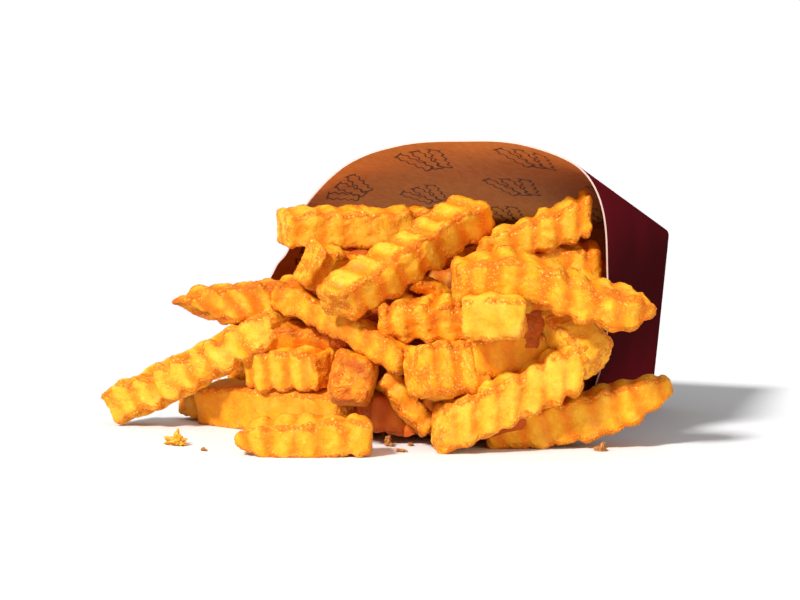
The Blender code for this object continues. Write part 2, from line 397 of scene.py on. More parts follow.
@dataclass(frozen=True)
class CrustFinish:
    """Fried potato: a grainy golden crust, crisp at its edges, with painted shade in its grooves, painted
    highlights on its crests, painted glints on its grains, and a deep colour for darker fries and for painted
    shade on those in the heap's gaps.
    """

    name: str
    grain: bpy.types.NodeTree
    # crest and groove are painted light and shade: lighter on the ridges' crests and darker in the grooves
    # between them.
    crest: Colour = (0.82, 0.35, 0.009)
    groove: Colour = (0.78, 0.20, 0.005)
    flesh: Colour = (0.88, 0.41, 0.020)
    crisp: Colour = (0.66, 0.115, 0.003)
    ember: Colour = (0.78, 0.23, 0.005)
    toasted: Colour = (0.94, 0.54, 0.06)
    glint: Colour = (0.96, 0.68, 0.13)
    # pale is the fry's own paleness where its tone is high, and also a painted highlight on the highest crests.
    pale: Colour = (0.92, 0.54, 0.05)
    # deep is darker browning on a few fries and painted shade on the fries and the core that lie in the heap's
    # gaps.
    deep: Colour = (0.43, 0.060, 0.007)
    grain_size: float = 0.0007
    speck_share: float = 0.24
    patch_scale: float = 160.0
    mottle_scale: float = 520.0
    tone_wander: float = 0.35
    roughness: float = 0.55
    coat_roughness: float = 0.3
    specular: float = 0.14
    subsurface: float = 0.22
    subsurface_radius: Colour = (1.0, 0.28, 0.07)
    subsurface_scale: float = 0.0024
    bump_strength: float = 0.9
    bump_depth: float = 0.0006

    def potato(self, sheet: NodeSheet, mottle: object, tone: object) -> bpy.types.NodeSocket:
        """The colour of the potato under its crust, with painted shade in its grooves and painted highlights on
        its crests.

        Args:
            sheet: The material's nodes.
            mottle: Soft noise of about a millimetre.
            tone: How pale the fry is, from below 0 to above 1; low values also stand for painted shade.

        Returns:
            The colour, darker in the grooves and paler on the crests as painted shade and highlight, and pale
            where the potato is cut.
        """
        # Painted shade in the grooves and painted light on the crests, with a painted highlight on the highest
        # crests.
        height = sheet.plus(sheet.attribute("crest"), sheet.times(sheet.minus(mottle, 0.5), 0.9))
        colour = sheet.mix(sheet.ramp(height, 0.12, 0.95), self.groove, self.crest)
        colour = sheet.mix(sheet.times(sheet.ramp(height, 0.68, 1.15), 0.65), colour, self.pale)
        cut = sheet.times(sheet.attribute("flesh"), sheet.ramp(mottle, 0.25, 0.6))
        colour = sheet.mix(sheet.times(cut, 0.75), colour, self.flesh)
        return sheet.mix(sheet.ramp(tone, 0.0, 1.2, 0.0, 0.75), colour, self.pale)

    def browned(self, sheet: NodeSheet, mottle: object, rough: object, specks: object) -> bpy.types.NodeSocket:
        """How crisp and brown the crust is.

        Args:
            sheet: The material's nodes.
            mottle: Soft noise of about a millimetre.
            rough: How rough the crust is, from 0 to 1.
            specks: The mask of scattered specks.

        Returns:
            A mask that is highest along edges, in hollows between grains and on specks.
        """
        fried = sheet.plus(sheet.attribute("edge"), sheet.times(mottle, 0.9))
        crisp = sheet.ramp(fried, 1.1, 1.75, 0.0, 0.3)
        between_grains = sheet.ramp(sheet.attribute("grain"), 0.35, 0.05)
        hollow = sheet.times(between_grains, sheet.ramp(rough, 0.1, 0.7, 0.05, 0.6))
        specked = sheet.times(specks, sheet.ramp(rough, 0.1, 0.6, 0.15, 0.6))
        return sheet.math("MINIMUM", sheet.plus(sheet.larger(crisp, hollow), specked), 0.85)

    def make(self) -> bpy.types.Material:
        """Builds the material from the mesh's crest, flesh, edge, grain, rough and tone values.

        Returns:
            The finished material.
        """
        material, sheet, shader = start_finish(self.name)
        place = sheet.place()
        patches = sheet.noise(place, self.patch_scale, detail=3.0)
        mottle = sheet.noise(place, self.mottle_scale, detail=4.0, rough=0.6)
        grain = sheet.group(self.grain, **{"Size": self.grain_size, "Speck Share": self.speck_share})
        rough = sheet.attribute("rough")
        wander = sheet.ramp(patches, 0.3, 0.7, -self.tone_wander, self.tone_wander)
        tone = sheet.plus(sheet.attribute("tone"), wander)

        colour = self.potato(sheet, mottle, tone)
        colour = sheet.mix(sheet.ramp(rough, 0.25, 0.8, 0.0, 0.4), colour, self.ember)
        raised = sheet.ramp(sheet.attribute("grain"), 0.3, 0.7)
        colour = sheet.mix(sheet.times(raised, sheet.ramp(rough, 0.15, 0.55, 0.05, 0.85)), colour, self.toasted)
        high = sheet.ramp(grain.outputs["Height"], 0.46, 0.72)
        bright = sheet.times(high, sheet.ramp(rough, 0.12, 0.5, 0.12, 0.9))
        colour = sheet.mix(bright, colour, self.glint)
        colour = sheet.mix(self.browned(sheet, mottle, rough, grain.outputs["Specks"]), colour, self.crisp)
        # A low tone turns the fry deep red-brown: painted shade on the fries and the core in the heap's gaps,
        # and darker browning on a few others.
        colour = sheet.mix(sheet.ramp(tone, 0.0, -1.2, 0.0, 0.85), colour, self.deep)
        sheet.feed(shader.inputs["Base Color"], colour)

        gloss = sheet.ramp(mottle, 0.3, 0.7, self.roughness - 0.12, self.roughness + 0.16)
        sheet.feed(shader.inputs["Roughness"], gloss)
        oily = sheet.larger(sheet.ramp(patches, 0.5, 0.75, 0.0, 0.15), sheet.times(bright, 0.12))
        sheet.feed(shader.inputs["Coat Weight"], oily)
        shader.inputs["Coat Roughness"].default_value = self.coat_roughness
        shader.inputs["Specular IOR Level"].default_value = self.specular
        shader.inputs["Subsurface Weight"].default_value = self.subsurface
        shader.inputs["Subsurface Radius"].default_value = self.subsurface_radius
        shader.inputs["Subsurface Scale"].default_value = self.subsurface_scale
        relief = sheet.times(grain.outputs["Height"], sheet.ramp(rough, 0.1, 0.7, 0.3, 1.0))
        sheet.bump(shader, relief, self.bump_strength, self.bump_depth)
        return material


@dataclass(frozen=True)
class PrintFinish:
    """The carton's outside: dark red print, deeper in a band across the middle and lighter red towards the top
    and the bottom as painted reflections of the lights, in place of a satin varnish.
    """

    name: str
    grain: bpy.types.NodeTree
    # red is the print with the painted reflection of the lights near the top and the bottom; deep is the print
    # across the middle.
    red: Colour = (0.155, 0.009, 0.014)
    deep: Colour = (0.052, 0.0055, 0.007)
    band_top: tuple[float, float] = (0.046, 0.084)
    band_bottom: tuple[float, float] = (0.034, 0.004)
    band_wander: float = 0.03

    def make(self) -> bpy.types.Material:
        """Builds the material.

        Returns:
            The finished material.
        """
        material, sheet, shader = start_finish(self.name)
        place = sheet.place()
        split = sheet.add("ShaderNodeSeparateXYZ")
        sheet.feed(split.inputs[0], place)
        wide = sheet.noise(place, 22.0, detail=1.0)
        wander = sheet.times(sheet.minus(wide, 0.5), self.band_wander)
        height = sheet.plus(split.outputs["Z"], wander)
        # Painted reflections: the print turns from deep to red towards the top and the bottom, where a satin
        # varnish would catch the lights.
        glow = sheet.larger(sheet.ramp(height, *self.band_top), sheet.ramp(height, *self.band_bottom))
        grain = sheet.group(self.grain, **{"Size": 0.0009, "Speck Share": 0.03})
        colour = sheet.mix(glow, self.deep, self.red)
        colour = sheet.mix(sheet.times(grain.outputs["Specks"], 0.12), colour, self.red)
        sheet.feed(shader.inputs["Base Color"], colour)
        fibres = sheet.noise(place, 900.0, detail=3.0)
        sheet.feed(shader.inputs["Roughness"], sheet.ramp(fibres, 0.3, 0.7, 0.5, 0.62))
        shader.inputs["Specular IOR Level"].default_value = 0.0
        sheet.bump(shader, grain.outputs["Height"], strength=0.12, depth=0.0001)
        return material


@dataclass(frozen=True)
class KraftFinish:
    """The carton's bare inside: brown board with fine fibres and a small printed motif of three fries."""

    name: str
    grain: bpy.types.NodeTree
    board: Colour = (0.58, 0.205, 0.036)
    fibre: Colour = (0.50, 0.160, 0.026)
    ink: Colour = (0.055, 0.022, 0.012)
    fibre_stretch: Point = (1.0, 0.22, 1.0)
    cell: tuple[float, float] = (34.0, 38.0)
    stretch: float = 2.1
    bar_half_length: float = 5.2
    bar_half_width: float = 1.7
    bar_wave: float = 0.42
    bar_wave_length: float = 2.6
    bar_fan: float = 21.0
    bar_gap: float = 4.6
    line_width: float = 0.4

    def bar_outline(self, sheet: NodeSheet, x: object, y: object, across: float) -> bpy.types.NodeSocket:
        """One wavy bar of the motif, drawn as a thin outline.

        Args:
            sheet: The material's nodes.
            x: Distance across the cell from its middle, in millimetres.
            y: Distance up the cell from its middle, in millimetres.
            across: The bar's place in the fan, from -1 to 1.

        Returns:
            A mask that is 1 on the line.
        """
        turn = radians(self.bar_fan * across)
        x = sheet.minus(x, self.bar_gap * across)
        side = sheet.minus(sheet.times(x, cos(turn)), sheet.times(y, sin(turn)))
        up = sheet.plus(sheet.times(x, sin(turn)), sheet.times(y, cos(turn)))
        wave = sheet.math("SINE", sheet.times(up, 2 * pi / self.bar_wave_length))
        beyond_side = sheet.minus(
            sheet.math("ABSOLUTE", side), sheet.plus(sheet.times(wave, self.bar_wave), self.bar_half_width)
        )
        beyond_end = sheet.minus(sheet.math("ABSOLUTE", up), self.bar_half_length)
        beyond = sheet.larger(beyond_side, beyond_end)
        near = sheet.math("ABSOLUTE", beyond)
        return sheet.ramp(near, self.line_width, self.line_width * 0.5)

    def motif(self, sheet: NodeSheet) -> bpy.types.NodeSocket:
        """The motif on a staggered grid over the whole inside.

        Args:
            sheet: The material's nodes.

        Returns:
            A mask that is 1 where ink is printed.
        """
        split = sheet.add("ShaderNodeSeparateXYZ")
        sheet.feed(split.inputs[0], sheet.add("ShaderNodeUVMap", uv_map="board").outputs[0])
        wide, tall = self.cell
        along = sheet.math("DIVIDE", split.outputs["Y"], tall * MM)
        row = sheet.math("FLOOR", along)
        stagger = sheet.times(sheet.math("MODULO", row, 2.0), 0.5)
        around = sheet.plus(sheet.math("DIVIDE", split.outputs["X"], wide * MM), stagger)
        x = sheet.times(sheet.minus(sheet.math("FRACT", around), 0.5), wide)
        y = sheet.times(sheet.minus(0.5, sheet.math("FRACT", along)), tall / self.stretch)
        mask = 0.0
        for across in (-1.0, 0.0, 1.0):
            mask = sheet.larger(mask, self.bar_outline(sheet, x, y, across))
        return mask

    def make(self) -> bpy.types.Material:
        """Builds the material.

        Returns:
            The finished material.
        """
        material, sheet, shader = start_finish(self.name)
        place = sheet.place()
        stretch = sheet.add("ShaderNodeMapping")
        sheet.feed(stretch.inputs["Vector"], place)
        stretch.inputs["Scale"].default_value = self.fibre_stretch
        fibres = sheet.noise(stretch.outputs[0], 700.0, detail=5.0, rough=0.65)
        wide = sheet.noise(place, 35.0, detail=2.0)
        grain = sheet.group(self.grain, **{"Size": 0.0006, "Speck Share": 0.05})
        blotch = sheet.plus(sheet.times(fibres, 0.6), sheet.times(wide, 0.4))
        colour = sheet.mix(sheet.ramp(blotch, 0.35, 0.65), self.board, self.fibre)
        colour = sheet.mix(sheet.times(grain.outputs["Specks"], 0.25), colour, self.ink)
        ink = sheet.times(self.motif(sheet), sheet.ramp(fibres, 0.2, 0.45, 0.65, 0.9))
        sheet.feed(shader.inputs["Base Color"], sheet.mix(ink, colour, self.ink))
        sheet.feed(shader.inputs["Roughness"], sheet.ramp(fibres, 0.3, 0.7, 0.62, 0.8))
        shader.inputs["Specular IOR Level"].default_value = 0.15
        sheet.bump(shader, fibres, strength=0.2, depth=0.00008)
        return material


@dataclass(frozen=True)
class CutEdgeFinish:
    """The board's pale cut edge, with the layers of its fibres."""

    name: str
    grain: bpy.types.NodeTree
    pale: Colour = (0.80, 0.62, 0.56)
    fibre: Colour = (0.62, 0.40, 0.33)

    def make(self) -> bpy.types.Material:
        """Builds the material.

        Returns:
            The finished material.
        """
        material, sheet, shader = start_finish(self.name)
        grain = sheet.group(self.grain, **{"Size": 0.0005, "Speck Share": 0.12})
        sheet.feed(shader.inputs["Base Color"], sheet.mix(grain.outputs["Height"], self.fibre, self.pale))
        sheet.feed(shader.inputs["Roughness"], sheet.ramp(grain.outputs["Height"], 0.0, 1.0, 0.6, 0.8))
        return material


# Fries


@dataclass(frozen=True)
class Fry:
    """One crinkle-cut fry, with lengths in millimetres and angles in degrees.

    Attributes:
        start: The middle of its first end.
        end: The middle of its last end.
        height: How high its section is.
        width: How wide its section is.
        roll: How far it is turned about its own length.
        bow: How far its middle rises.
        sway: How far it waves up and down along its length.
        start_scale: How much thinner it is at its first end.
        end_scale: How much thinner it is at its last end.
        slant: How obliquely its ends are cut from side to side.
        lean: How obliquely its ends are cut from bottom to top.
        depth: How deep its ridges are.
        offset: How far its ridges are shifted from one face to the opposite one, in turns of the wave.
        taper: How long the thinner ends are.
        tone: How pale it is, from dark at -1.2 to pale at 1.2; the darkest values paint the shade on fries that
            lie in the heap's gaps.
        crust: How much crust it has.
        square: How square its section is.
    """

    start: Point
    end: Point
    height: float = 12.0
    width: float = 12.0
    roll: float = 0.0
    bow: float = 0.0
    sway: float = 0.0
    start_scale: float = 0.92
    end_scale: float = 0.92
    slant: float = 0.0
    lean: float = 0.0
    depth: float = 1.0
    offset: float = 2.0
    taper: float = 9.0
    tone: float = 0.0
    crust: float = 1.0
    square: float = 8.0


@dataclass(frozen=True)
class BarPoints:
    """Where each point of a bar lies before the bar is shaped.

    Attributes:
        length: The bar's length.
        distance: How far along the bar each point lies.
        across: Its place from side to side, from -1 to 1.
        over: Its place from bottom to top, from -1 to 1.
        out: How far out it lies, from 0 in the middle of an end to 1 at the ends' rims and on the sides.
        facing: -1 on the first end, 1 on the last end and 0 on the sides.
    """

    length: float
    distance: np.ndarray
    across: np.ndarray
    over: np.ndarray
    out: np.ndarray
    facing: np.ndarray

    @property
    def to_end(self) -> np.ndarray:
        """How far each point lies from the nearer end."""
        return np.minimum(self.distance, self.length - self.distance)

    @property
    def on_end(self) -> np.ndarray:
        """Which points lie on an end."""
        return self.facing != 0


@dataclass(frozen=True)
class Waves:
    """The ridges at each point: the wave over and under the fry, the one on its sides, and their swell."""

    over: np.ndarray
    across: np.ndarray
    swell: np.ndarray


@dataclass
class FryCutter:
    """Shapes each fry from a finely divided bar, with its ridges, rounded ends and crust."""

    ridge_pitch: float = 7.4
    ridge_depth: float = 0.6
    ridge_rest: float = 0.35
    ridge_wander: float = 0.35
    swell: float = 0.55
    swell_limits: tuple[float, float] = (0.25, 1.8)
    edge_ridge: float = 0.24
    plumpness: float = 0.3
    end_fade: float = 3.5
    corner_crowding: float = 0.45
    rounding: float = 1.1
    round_rings: int = 4
    cap_rings: int = 5
    groove_sharpness: float = 1.9
    unevenness: tuple[tuple[float, float], ...] = ((14.0, 0.4), (5.0, 0.14), (2.4, 0.08))
    ragged_faces: float = 0.18
    ragged_corners: float = 0.85
    ragged_ends: float = 0.35
    grain_sizes: tuple[float, float] = (1.25, 0.75)
    grain_heights: tuple[float, float] = (0.64, 0.44)
    grain_sink: float = 0.3
    weight_steps: int = 12
    blanks: dict[tuple[int, int], bpy.types.Mesh] = field(default_factory=dict)

    def blank(self, sides: int, rings: int) -> bpy.types.Mesh:
        """A bar of unit size, cut into rings along its side and inset rings on its ends.

        Args:
            sides: How many points there are round the bar.
            rings: How many lengths its side is cut into.

        Returns:
            The bar's mesh, kept for the next fry of this length.
        """
        if (sides, rings) in self.blanks:
            return self.blanks[sides, rings]
        deselect_all()
        bpy.ops.mesh.primitive_cylinder_add(vertices=sides, radius=1.0, depth=1.0, end_fill_type="NGON")
        bar = bpy.context.object
        bpy.ops.object.mode_set(mode="EDIT")
        bpy.ops.mesh.select_mode(type="EDGE")
        bpy.ops.mesh.select_all(action="DESELECT")
        bpy.ops.object.mode_set(mode="OBJECT")
        points = bar.data.vertices
        for edge in bar.data.edges:
            low, high = (points[index].co.z for index in edge.vertices)
            edge.select = abs(high - low) > 0.5
        bpy.ops.object.mode_set(mode="EDIT")
        bpy.ops.mesh.subdivide(number_cuts=rings - 1)
        bpy.ops.mesh.select_mode(type="FACE")
        bpy.ops.mesh.select_all(action="DESELECT")
        bpy.ops.object.mode_set(mode="OBJECT")
        for face in bar.data.polygons:
            face.select = len(face.vertices) == sides
        bpy.ops.object.mode_set(mode="EDIT")
        for _ in range(self.cap_rings):
            bpy.ops.mesh.inset(thickness=1.0 / (self.cap_rings + 1))
        bpy.ops.mesh.poke()
        bpy.ops.object.mode_set(mode="OBJECT")
        mesh = bar.data.copy()
        bpy.data.objects.remove(bar)
        self.blanks[sides, rings] = mesh
        return mesh

    def ring_distances(self, length: float, rings: int) -> np.ndarray:
        """Where the rings lie along the fry, closer together where its ends are rounded.

        Args:
            length: The fry's length.
            rings: How many lengths its side is cut into.

        Returns:
            One distance for each ring.
        """
        turn = np.linspace(0, pi / 2, self.round_rings + 1)
        near = self.rounding * (1 - np.cos(turn))
        middle = np.linspace(self.rounding, length - self.rounding, rings - 2 * self.round_rings + 1)
        return np.concatenate([near[:-1], middle, length - near[:-1][::-1]])

    def end_scale(self, fry: Fry, distance: np.ndarray, length: float) -> np.ndarray:
        """How much thinner the fry is near an end that tapers.

        Args:
            fry: The fry.
            distance: How far along it each point lies.
            length: Its length.

        Returns:
            One scale for each point.
        """
        from_start = np.minimum(distance / fry.taper, 1.0)
        from_end = np.minimum((length - distance) / fry.taper, 1.0)
        first = fry.start_scale + (1 - fry.start_scale) * np.sin(from_start * pi / 2)
        last = fry.end_scale + (1 - fry.end_scale) * np.sin(from_end * pi / 2)
        return first * last

    def ridge(self, wave: np.ndarray, side: np.ndarray) -> np.ndarray:
        """The ridges' wave with its grooves made narrower than its crests, on either side of the fry.

        Args:
            wave: A plain wave from -1 to 1.
            side: The point's place between the two faces, from -1 to 1.

        Returns:
            The wave with crests that point outwards on both faces.
        """
        power = self.groove_sharpness
        up = 1 - 2 * ((1 - wave) / 2) ** power
        down = 2 * ((1 + wave) / 2) ** power - 1
        return up * (1 + side) / 2 + down * (1 - side) / 2

    def axes(self, fry: Fry) -> tuple[np.ndarray, ...]:
        """The fry's start, and its directions along, to the side and up.

        Args:
            fry: The fry.

        Returns:
            The start in millimetres and the three directions.
        """
        start, end = Vector(fry.start), Vector(fry.end)
        along = (end - start).normalized()
        side = Matrix.Rotation(radians(fry.roll), 3, along) @ along.cross(Vector((0, 0, 1))).normalized()
        return tuple(np.array(way) for way in (start, along, side, side.cross(along)))

    def measure(self, mesh: bpy.types.Mesh, fry: Fry, length: float, rings: int) -> BarPoints:
        """Finds where the points of a fry's bar lie.

        Args:
            mesh: The bar, of unit size.
            fry: The fry that it becomes.
            length: The fry's length.
            rings: How many lengths the bar's side is cut into.

        Returns:
            The places of the points.
        """
        bar = read_points(mesh)
        ring = np.rint((bar[:, 2] + 0.5) * rings).astype(int)
        angle = np.arctan2(bar[:, 1], bar[:, 0])
        angle += self.corner_crowding / 4 * np.sin(4 * angle)
        square = (np.abs(np.cos(angle)) ** fry.square + np.abs(np.sin(angle)) ** fry.square) ** (1 / fry.square)
        facing = np.where(ring == 0, -1.0, 1.0) * ((ring == 0) | (ring == rings))
        distance = self.ring_distances(length, rings)[ring]
        out = np.hypot(bar[:, 0], bar[:, 1])
        return BarPoints(length, distance, np.cos(angle) / square, np.sin(angle) / square, out, facing)

    def crinkle(self, fry: Fry, at: BarPoints, draw: Random) -> Waves:
        """The ridges along a fry, which fade towards its ends.

        Args:
            fry: The fry.
            at: Where its bar's points lie.
            draw: The seeded source of its unevenness.

        Returns:
            The waves at each point.
        """
        start, along, _, _ = self.axes(fry)
        spine = start + np.outer(at.distance, along)
        halves = max(2, round(2 * at.length / self.ridge_pitch))
        phase = pi * at.distance * halves / at.length + self.ridge_wander * smooth_noise(spine, 16, draw)
        swell = np.clip(1 + self.swell * smooth_noise(spine, 9, draw), *self.swell_limits)
        whole = smooth_step(0.4, self.end_fade, at.to_end)
        faces = (at.over, at.across)
        full = [self.ridge(np.cos(phase + fry.offset * (1 - face) / 2), face) for face in faces]
        over, across = (self.ridge_rest + (wave - self.ridge_rest) * whole for wave in full)
        return Waves(over, across, swell)

    def shape(self, fry: Fry, at: BarPoints, waves: Waves, draw: Random) -> np.ndarray:
        """The fry's points before its crust is raised.

        Args:
            fry: The fry.
            at: Where its bar's points lie.
            waves: Its ridges.
            draw: The seeded source of its unevenness.

        Returns:
            The points, in millimetres.
        """
        start, along, side, up = self.axes(fry)
        scale = self.end_scale(fry, at.distance, at.length)
        turned = np.clip(1 - (1 - np.minimum(at.to_end / self.rounding, 1)) ** 2, 0, 1)
        inset = self.rounding * (1 - np.sqrt(turned))
        part_way = at.distance / at.length
        rise = fry.bow * 4 * part_way * (1 - part_way) + fry.sway * np.sin(2 * pi * part_way)
        half_width = fry.width / 2 * scale - inset + self.plumpness
        half_height = fry.height / 2 * scale - inset + self.plumpness
        swell = fry.depth * waves.swell * at.out
        sideways = at.across * half_width * at.out + self.edge_ridge * swell * waves.across
        upward = at.over * half_height * at.out + self.ridge_depth * swell * waves.over + rise
        sheared = fry.slant * at.across * fry.width / 2 + fry.lean * at.over * fry.height / 2
        bulge = at.facing * (1 - at.out**2) * draw.uniform(-0.5, 0.7)
        lengthways = at.distance + sheared * np.where(at.on_end, at.out, 1.0) + bulge
        points = start + np.outer(lengthways, along) + np.outer(sideways, side) + np.outer(upward, up)
        for size, amount in self.unevenness:
            shove = np.stack([smooth_noise(points, size, draw) for _ in range(3)], 1)
            points += shove * amount * min(fry.crust + 0.3, 1.4)
        return points

    def raise_grains(self, mesh: bpy.types.Mesh, points: np.ndarray, ragged: np.ndarray, draw: Random) -> None:
        """Raises the crust's grains out of the mesh, and keeps how far each point stands out.

        Args:
            mesh: The fry's mesh, with the points as they are.
            points: The same points, in millimetres.
            ragged: How rough the crust is at each point.
            draw: The seeded source of the grains.
        """
        normal = np.empty(len(points) * 3, np.float32)
        mesh.vertex_normals.foreach_get("vector", normal)
        coarse, fine = (grains(points, size, draw.uniform(0, 9)) for size in self.grain_sizes)
        high, low = self.grain_heights
        raised = (high * coarse + low * fine) * ragged
        points += normal.reshape(-1, 3) * (raised - self.grain_sink * high * ragged)[:, None]
        points[:, 2] = np.maximum(points[:, 2], FLOOR_GAP)
        write_points(mesh, to_metres(points))
        write_values(mesh, "grain", np.clip(0.6 * coarse + 0.6 * fine, 0, 1))

    def cut(self, name: str, fry: Fry, draw: Random, fine: float = 0.42, sides: int = 96) -> bpy.types.Object:
        """Makes one fry at its place in the heap.

        Args:
            name: The object's name.
            fry: Its size, place and cut.
            draw: The seeded source of its unevenness.
            fine: The distance between its rings in millimetres.
            sides: How many points there are round it.

        Returns:
            The fry, with the values that its finish reads.
        """
        length = (Vector(fry.end) - Vector(fry.start)).length
        rings = max(ceil(length / fine), 4 * self.round_rings)
        mesh = self.blank(sides, rings).copy()
        mesh.name = name
        at = self.measure(mesh, fry, length, rings)
        waves = self.crinkle(fry, at, draw)
        points = self.shape(fry, at, waves, draw)
        write_points(mesh, to_metres(points))

        corner = smooth_step(0.6, 0.9, np.minimum(np.abs(at.across), np.abs(at.over)) * at.out)
        flesh = np.where(at.on_end, 1.0, smooth_step(1.6, 0.2, at.to_end))
        fried = self.ragged_faces * fry.crust + self.ragged_corners * corner * fry.crust
        worn = fried + self.ragged_ends * flesh
        ragged = np.clip(worn, 0.1, 1.0) * np.clip(0.9 + 0.7 * smooth_noise(points, 6, draw), 0.25, 1.3)
        self.raise_grains(mesh, points, ragged, draw)

        # The crest value, high on the ridges' crests, carries their painted light and the grooves' painted
        # shade; it is lower near the section's corners, so the painted highlight keeps to the middle of each
        # face.
        ways = (waves.over * at.over * np.abs(at.over) ** 3, waves.across * at.across * np.abs(at.across) ** 3)
        outward = sum(ways) / (at.over**4 + at.across**4) * np.where(at.on_end, at.out**6, 1.0)
        middle = 1 - 0.15 * np.abs(at.across * at.over) ** 1.5 * at.out
        rim = 0.4 * np.where(at.on_end, at.out**4, 0)
        write_values(mesh, "crest", (0.55 + 0.45 * outward * min(fry.depth, 1)) * middle)
        write_values(mesh, "flesh", flesh)
        write_values(mesh, "edge", np.clip(corner * (0.4 + 0.6 * fry.crust) + rim, 0, 1))
        write_values(mesh, "rough", np.clip(ragged, 0, 1))
        write_values(mesh, "tone", np.full(len(points), fry.tone + draw.uniform(-0.12, 0.12)))
        obj = bpy.data.objects.new(name, mesh)
        bpy.context.scene.collection.objects.link(obj)
        self.weigh(obj, np.clip(ragged, 0, 1))
        return obj

    def weigh(self, obj: bpy.types.Object, weights: np.ndarray) -> None:
        """Keeps how far the crust's relief reaches at each point, in steps.

        Args:
            obj: The fry.
            weights: One weight for each point, from 0 to 1.
        """
        group = obj.vertex_groups.new(name="ragged")
        level = np.rint(weights * self.weight_steps).astype(int)
        for step in range(1, self.weight_steps + 1):
            group.add(np.flatnonzero(level == step).tolist(), step / self.weight_steps, "REPLACE")


@dataclass
class Crust:
    """The relief that frying leaves: blisters and fine grain, each with its size and height in millimetres."""

    reliefs: tuple[tuple[str, float, float], ...] = (("blisters", 2.4, 0.3), ("grain", 0.6, 0.25))

    def fry(self, obj: bpy.types.Object) -> None:
        """Raises the crust on a piece, most where its weights say that it is ragged.

        Args:
            obj: The piece whose mesh gets the relief.
        """
        for name, size, height in self.reliefs:
            texture = bpy.data.textures.get(name) or bpy.data.textures.new(name, type="CLOUDS")
            texture.noise_scale = size * MM
            texture.noise_depth = 2
            relief = obj.modifiers.new(name, "DISPLACE")
            relief.texture = texture
            relief.texture_coords = "LOCAL"
            relief.strength = height * MM
            relief.mid_level = 0.5
            relief.vertex_group = "ragged"
        apply_all(obj)


def join(objects: list[bpy.types.Object], name: str) -> bpy.types.Object:
    """Joins the objects into one and names it.

    Args:
        objects: The objects to join.
        name: The name of the joined object.

    Returns:
        The joined object, at the origin.
    """
    pick(*objects)
    bpy.ops.object.join()
    joined = bpy.context.object
    joined.name = joined.data.name = name
    return joined


def dress(obj: bpy.types.Object, material: bpy.types.Material, slot: str, *nodes: str) -> bpy.types.Object:
    """Gives a piece its finish, its body and the nodes that it stands for.

    Args:
        obj: The piece.
        material: Its finish.
        slot: The material slot of the record that it belongs to; not used.
        nodes: The nodes that it replaces.

    Returns:
        The same piece.
    """
    obj.data.materials.clear()
    obj.data.materials.append(material)
    pick(obj)
    bpy.ops.object.shade_smooth()
    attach(obj, BODY)
    if nodes:
        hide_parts(*nodes)
    log.info("%s: %d faces", obj.name, len(obj.data.polygons))
    return obj


